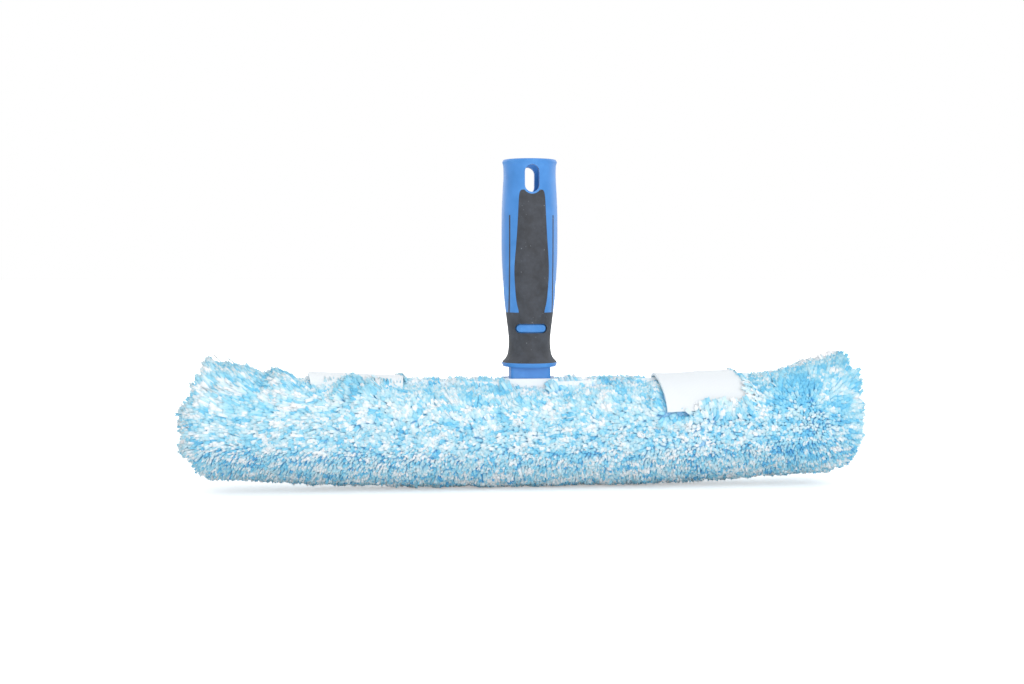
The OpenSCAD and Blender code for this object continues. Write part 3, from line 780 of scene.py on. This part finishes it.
def cut_back(length, root, tip, place, stray, rng):
    """The tufts' lengths, less where they would pass the sleeve's ends or stand too high at the slit."""
    for side, outline in ((-1, LEFT_REACH), (1, RIGHT_REACH)):
        height = (root[:, 2] + length * tip[:, 2]) / MM
        reach = np.interp(height, *zip(*outline)) * MM + CLUMP_REACH * field(place, CLUMP, 8)[:, 0]
        reach += np.where(stray, STRAY_REACH, 1) * rng.normal(0, 0.8 * MM, len(root))
        run = np.maximum(side * length * tip[:, 0], 0.1 * MM)
        outside = side * (root[:, 0] + length * tip[:, 0]) > reach
        share = np.clip((reach - side * root[:, 0]) / run, CUT_LEAST, 1)
        length = np.where(outside, length * share, length)
    rise = np.maximum(length * tip[:, 2], 0.1 * MM)
    room = np.interp(np.abs(place[:, 0]) / MM, *zip(*SLIT_TOP)) * MM
    room = room + rng.normal(0, 0.5 * MM, len(root)) - root[:, 2]
    high = (np.abs(place[:, 0]) < SLIT_TOP_HALF) & (rise > room)
    return np.where(high, length * np.clip(room / rise, CUT_LEAST, 1), length)


def bent_copies(template, root, normal, lean, bend, length, wide, rng):
    """The points of every tuft: the template turned, flattened and bent along the tuft's own curve."""
    spin = rng.uniform(0, 2 * np.pi, len(root))
    flat = rng.uniform(0.6, 1.0, len(root))
    t = template[:, 2]
    bend = bend[:, None]
    lift = t - BEND_DROP * bend * t ** 2
    slide = BEND_RUN * bend * t ** 2
    curve = lift[..., None] * normal[:, None] + slide[..., None] * lean[:, None]
    line = root[:, None] + length[:, None, None] * curve
    ahead = (1 - 2 * BEND_DROP * bend * t)[..., None] * normal[:, None]
    ahead += (2 * BEND_RUN * bend * t)[..., None] * lean[:, None]
    ahead /= np.linalg.norm(ahead, axis=2)[..., None]
    cross = np.cross(normal, lean)[:, None]
    aside = np.cross(ahead, cross)
    c, q = np.cos(spin)[:, None], np.sin(spin)[:, None]
    a = (template[:, 0] * c - template[:, 1] * q) * wide[:, None]
    b = (template[:, 0] * q + template[:, 1] * c) * (wide * flat)[:, None]
    return line + a[..., None] * cross + b[..., None] * aside


def lay_pile():
    """Sets every tuft out and shows the pile in pieces."""
    rng = np.random.default_rng(7)
    s, place, normal = all_roots(rng)
    lie = round_straps(place)
    bare = lie["on_pad"] == 0
    s, place, normal = (a[bare] for a in (s, place, normal))
    lie = {key: values[bare] for key, values in lie.items()}
    count = len(s)
    lean, bend = lay_of(s, place, normal, lie, rng)
    length = lengths_of(s, place, normal, lie, bend, rng)
    tint = tints_of(place, normal, rng)
    low = smooth(0.25, -0.45, normal[:, 2])
    left = smooth(-60 * MM, -150 * MM, place[:, 0])
    wide = (WIDE["even"] - WIDE["low"] * low - WIDE["left"] * left) * MM
    wide = wide * rng.uniform(0.8, 1.2, count) + WIDER_OVER_STRAP * lie["below"]
    # A few loose strands are thin and stand out of the pile
    stray = (rng.random(count) < STRAY_SHARE) & (lie["near"] + lie["edge"] < 0.1) & (low < 0.5)
    stray &= ~lie["under"]
    wide = np.where(stray, STRAY_WIDE * wide, wide)
    length = np.where(stray, STRAY_LONG * length, length)
    # On the ends' faces the roots lie deeper
    sink = END_SINK * smooth(0.3, 0.9, np.abs(normal[:, 0])) * (np.abs(s) > WRAP_HALF)
    root = place - normal * (ROOT_DEPTH + sink)[:, None]
    tip = (1 - BEND_DROP * bend)[:, None] * normal + BEND_RUN * bend[:, None] * lean
    length = cut_back(length + sink, root, tip, place, stray, rng)
    # Behind the crest and on the ends the tufts stand apart and show their own sides
    apart = smooth(0.55, 0.85, normal[:, 2]) * smooth(-2 * MM, 4 * MM, place[:, 1])
    apart = np.maximum(apart, smooth(0.4, 0.9, np.abs(normal[:, 0])))
    nap = normal * (1 - 0.8 * apart)[:, None]
    template, faces = pattern_of(tuft_template())
    points = bent_copies(template, root, normal, lean, bend, length, wide, rng)
    points = over_straps(points, lie["under"])
    # What would pass through the table is pressed flat on it
    sunk = points[..., 2] < TABLE_REST
    pressed = TABLE_REST * np.exp((points[..., 2] - TABLE_REST) / TABLE_REST)
    points[..., 2] = np.where(sunk, pressed, points[..., 2])

    tints = np.repeat(tint[:, None], len(template), 1)
    alongs = np.repeat(np.clip(template[:, 2], 0, 1)[None], count, 0)
    bands = {"pile_end_left": s < -WRAP_HALF, "pile_end_right": s > WRAP_HALF}
    edges = np.linspace(-WRAP_HALF, WRAP_HALF, 5)
    front = place[:, 1] < 0
    for side, word in ((front, "front"), (~front, "rear")):
        for k in range(4):
            bands[f"pile_{word}_{k + 1}"] = side & (s >= edges[k]) & (s <= edges[k + 1])
    made = []
    for name, chosen in bands.items():
        values = {"tint": tints[chosen], "along": alongs[chosen]}
        mesh = set_out(name, points[chosen], faces, values, nap[chosen])
        made.append(show(name, mesh, PILE))
    return made


def lay_ground():
    """The pile's dense foot: the CAD sleeve with its outside drawn in under the tufts."""
    bm = merged_copy("sleeve_pile")
    for v in bm.verts:
        turn = math.atan2(v.co.x, BOW_R - v.co.z)
        height = BOW_R - math.hypot(v.co.x, BOW_R - v.co.z)
        middle = min(max(height, PILE_R), ARC_Z)
        out = math.hypot(v.co.y, height - middle)
        if out > PILE_R - OUTSIDE:
            keep = (PILE_R - GROUND_DEPTH) / out
            y = v.co.y * keep
            z = middle + (height - middle) * keep
            v.co = Vector(((BOW_R - z) * math.sin(turn), y, BOW_R - (BOW_R - z) * math.cos(turn)))
    wrap = show("pile_ground", to_mesh(bm, "pile_ground", GROUND_CREASE), GROUND)
    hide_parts("sleeve_pile")
    pieces = [wrap]
    for side, word in ((-1, "left"), (1, "right")):
        bm = merged_copy("end_panel_" + word)
        middle = along_bow(np.array(side * WRAP_HALF), np.array(0.0), np.array(PILE_TOP / 2))
        shrink = Vector(((END_LEN - GROUND_DEPTH - END_SINK) / END_LEN, (PILE_R - GROUND_DEPTH) / PILE_R,
                         (PILE_TOP - 2 * GROUND_DEPTH) / PILE_TOP))
        bmesh.ops.scale(bm, verts=bm.verts, vec=shrink, space=Matrix.Translation(-Vector(middle)))
        name = "pile_ground_" + word
        end = show(name, to_mesh(bm, name, GROUND_CREASE), GROUND)
        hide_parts("end_panel_" + word)
        pieces.append(end)
    return pieces


# Straps

# The tape: its thickness, its hems, and the sewn tail's place behind the bar's middle, foot and length
STRAP_T = 1.2 * MM
HEM_W = 4 * MM
HEM_RISE = 0.6 * MM
HEM_THICK = 0.25
TAIL_Y = 9.3 * MM
TAIL_FOOT = 50.5 * MM
TAIL_LEN = 5 * MM
# The angles from the top between which its path follows the arc, and the step between points, in degrees
ARC_FROM = 17
ARC_TO = -78
ARC_STEP = -5.0
# How far the tape ripples, and where along it the ripple sets in
RIPPLE = 0.5 * MM
RIPPLE_FROM = 6 * MM
RIPPLE_FULL = 14 * MM


def strap_path():
    """The strap's middle line seen from its side, from its sewn foot to its free end: y and z points."""
    path = [(TAIL_Y, TAIL_FOOT), (TAIL_Y, TAIL_FOOT + 0.4 * TAIL_LEN),
            (TAIL_Y + 0.15 * MM, TAIL_FOOT + TAIL_LEN)]
    for angle in np.radians(np.arange(ARC_FROM, ARC_TO, ARC_STEP)):
        radius = STRAP_MID_R + STRAP_LIFT * math.cos(angle) ** 2
        path.append((radius * math.sin(angle), ARC_Z + radius * math.cos(angle)))
    return path


def on_path(path, v):
    """Place and normal at v along a path of points, smoothed between them."""
    steps = np.hypot(*np.diff(path, axis=0).T)
    stations = np.concatenate([[0], np.cumsum(steps)])
    fine = np.linspace(0, stations[-1], 400)
    y = np.interp(fine, stations, path[:, 0])
    z = np.interp(fine, stations, path[:, 1])
    for _ in range(60):
        y[1:-1] = (y[:-2] + 2 * y[1:-1] + y[2:]) / 4
        z[1:-1] = (z[:-2] + 2 * z[1:-1] + z[2:]) / 4
    dy, dz = np.gradient(y, fine), np.gradient(z, fine)
    place = np.stack([np.interp(v, fine, y), np.interp(v, fine, z)], -1)
    normal = np.stack([np.interp(v, fine, dz), -np.interp(v, fine, dy)], -1)
    return place, normal / np.linalg.norm(normal, axis=1)[:, None]


def strap(side, word):
    """One strap, cut flat from woven tape and laid along its path; side is -1 left and 1 right."""
    path = np.array(strap_path())
    length = float(np.hypot(*np.diff(path, axis=0).T).sum())
    bm = bmesh.new()
    uv = bm.loops.layers.uv.new("UVMap")
    bmesh.ops.create_grid(bm, x_segments=26, y_segments=56, size=0.5)
    bmesh.ops.scale(bm, verts=bm.verts, vec=(STRAP_W, length, 1))
    bmesh.ops.translate(bm, verts=bm.verts, vec=(0, length / 2, 0))
    bmesh.ops.solidify(bm, geom=bm.faces[:], thickness=STRAP_T)
    bmesh.ops.recalc_face_normals(bm, faces=bm.faces)
    for face in bm.faces:
        for loop in face.loops:
            loop[uv].uv = (loop.vert.co.x, loop.vert.co.y)
    flat = np.array([v.co for v in bm.verts])
    thick = flat[:, 2] - flat[:, 2].mean()
    across = flat[:, 0]
    place, normal = on_path(path, flat[:, 1])
    inner = STRAP_W / 2 - HEM_W
    hem = 1 + HEM_THICK * smooth(inner, inner + HEM_RISE, np.abs(across))
    ripple = np.array([noise.noise(Vector((a * 45, v * 60, side * 3.0))) for a, v in zip(across, flat[:, 1])])
    out = thick * hem + RIPPLE * ripple * smooth(RIPPLE_FROM, RIPPLE_FULL, flat[:, 1])
    lined = place + normal * out[:, None]
    angle = STRAP_A - (length - flat[:, 1]) / STRAP_MID_R
    drift = strap_slip(angle) - strap_draw(side, across, angle)
    laid = along_bow(STRAP_AT + 0 * across, lined[:, 0], lined[:, 1])
    laid = laid + bow_vector(STRAP_AT + 0 * across, across + drift, 0 * across, 0 * across)
    laid[:, :2] *= side
    for v, point in zip(bm.verts, laid):
        v.co = point
    name = word + "_strap_tape"
    piece = show(name, to_mesh(bm, name, TAPE_CREASE), TAPE, body=None)
    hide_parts(word + "_strap", word + "_strap_tail")
    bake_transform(piece)


# The object

dressed("handle_core", "handle_body", BLUE)
dressed("rubber_grip", "handle_grip", RUBBER)
finish_node("t_bar", NATURAL)
finish_node("fixing_screw", ZINC)
finish_node("screw_washer", ZINC)
backing = dressed("sleeve_backing", "sleeve_lining", BACKING)
for word in ("front", "rear"):
    binding = dressed("slit_tape_" + word, "slit_binding_" + word, BINDING)
ground = lay_ground()
tufts = lay_pile()
for side, word in ((-1, "left"), (1, "right")):
    finish_node(word + "_hook_pad", HOOKS)
    finish_node(word + "_loop_pad", LOOPS)
    strap(side, word)


# The stage, the camera and the lamps

def stage():
    """A white floor that keeps a soft shadow and fades to plain white, under a white world."""
    bpy.ops.mesh.primitive_plane_add(size=30, location=(0, 0, 0))
    floor = bpy.context.object
    floor.name = "studio_floor"
    material, tree, shader = blank("studio_floor_white", Roughness=0.9)
    shader.inputs["Base Color"].default_value = srgb("#f4f4f4")
    place = add(tree, "TexCoord").outputs["Object"]
    away = add(tree, "VectorMath", {0: place}, operation="LENGTH")
    far = add(tree, "MapRange", {"Value": away.outputs["Value"], "From Min": 0.35, "From Max": 0.9,
                                 "To Min": 0.4, "To Max": 1.0})
    seen = add(tree, "LightPath").outputs["Is Camera Ray"]
    level = add(tree, "Math", {0: far.outputs["Result"], 1: seen}, operation="MULTIPLY")
    glow = add(tree, "Emission", {"Color": srgb("#ffffff"), "Strength": level.outputs[0]})
    both = add(tree, "AddShader", {0: shader.outputs[0], 1: glow.outputs[0]})
    tree.links.new(both.outputs[0], tree.nodes["Material Output"].inputs["Surface"])
    floor.data.materials.append(material)
    world = bpy.data.worlds.new("studio")
    bpy.context.scene.world = world
    world.use_nodes = True
    tree = world.node_tree
    background = tree.nodes["Background"]
    background.inputs["Color"].default_value = srgb("#ffffff")
    rays = add(tree, "LightPath")
    seen = add(tree, "Math", {0: rays.outputs["Is Camera Ray"], 1: rays.outputs["Is Glossy Ray"]},
               operation="MAXIMUM")
    seen = add(tree, "Math", {0: seen.outputs[0], 1: rays.outputs["Is Transmission Ray"]},
               operation="MAXIMUM")
    level = add(tree, "MapRange", {"Value": seen.outputs[0], "To Min": 0.85, "To Max": 1.0})
    tree.links.new(level.outputs["Result"], background.inputs["Strength"])


def lamp(name, place, target, size, power):
    """A square softbox that looks at the target."""
    light = bpy.data.lights.new(name, "AREA")
    light.size = size
    light.energy = power
    thing = bpy.data.objects.new(name, light)
    bpy.context.scene.collection.objects.link(thing)
    thing.location = place
    thing.rotation_euler = (Vector(target) - Vector(place)).to_track_quat("-Z", "Y").to_euler()


def camera():
    """The photograph's own view: from the front, a little to the left, level with the handle's grip."""
    data = bpy.data.cameras.new("camera")
    data.lens = 49.2
    data.sensor_width = 36
    thing = bpy.data.objects.new("camera", data)
    bpy.context.scene.collection.objects.link(thing)
    heading, pitch = math.radians(5.284), math.radians(-2.94)
    thing.location = (-79.0 * MM, -751.9 * MM, 117.2 * MM)
    look = Vector((math.sin(heading) * math.cos(pitch), math.cos(heading) * math.cos(pitch), math.sin(pitch)))
    thing.rotation_euler = look.to_track_quat("-Z", "Y").to_euler()
    bpy.context.scene.camera = thing


stage()
middle = (0, 0, 60 * MM)
lamp("key", (1.1, -1.0, 1.2), middle, 1.4, 4.05)
lamp("rim", (1.1, 0.7, 0.5), middle, 1.0, 3)
lamp("top", (0.1, 0.3, 1.6), middle, 1.4, 1)
lamp("low", (0.0, -1.5, 0.4), middle, 0.8, 6.8)
lamp("back", (-0.9, 1.4, 0.7), middle, 1.0, 5.5)
camera()
bpy.context.scene.view_settings.view_transform = "Standard"
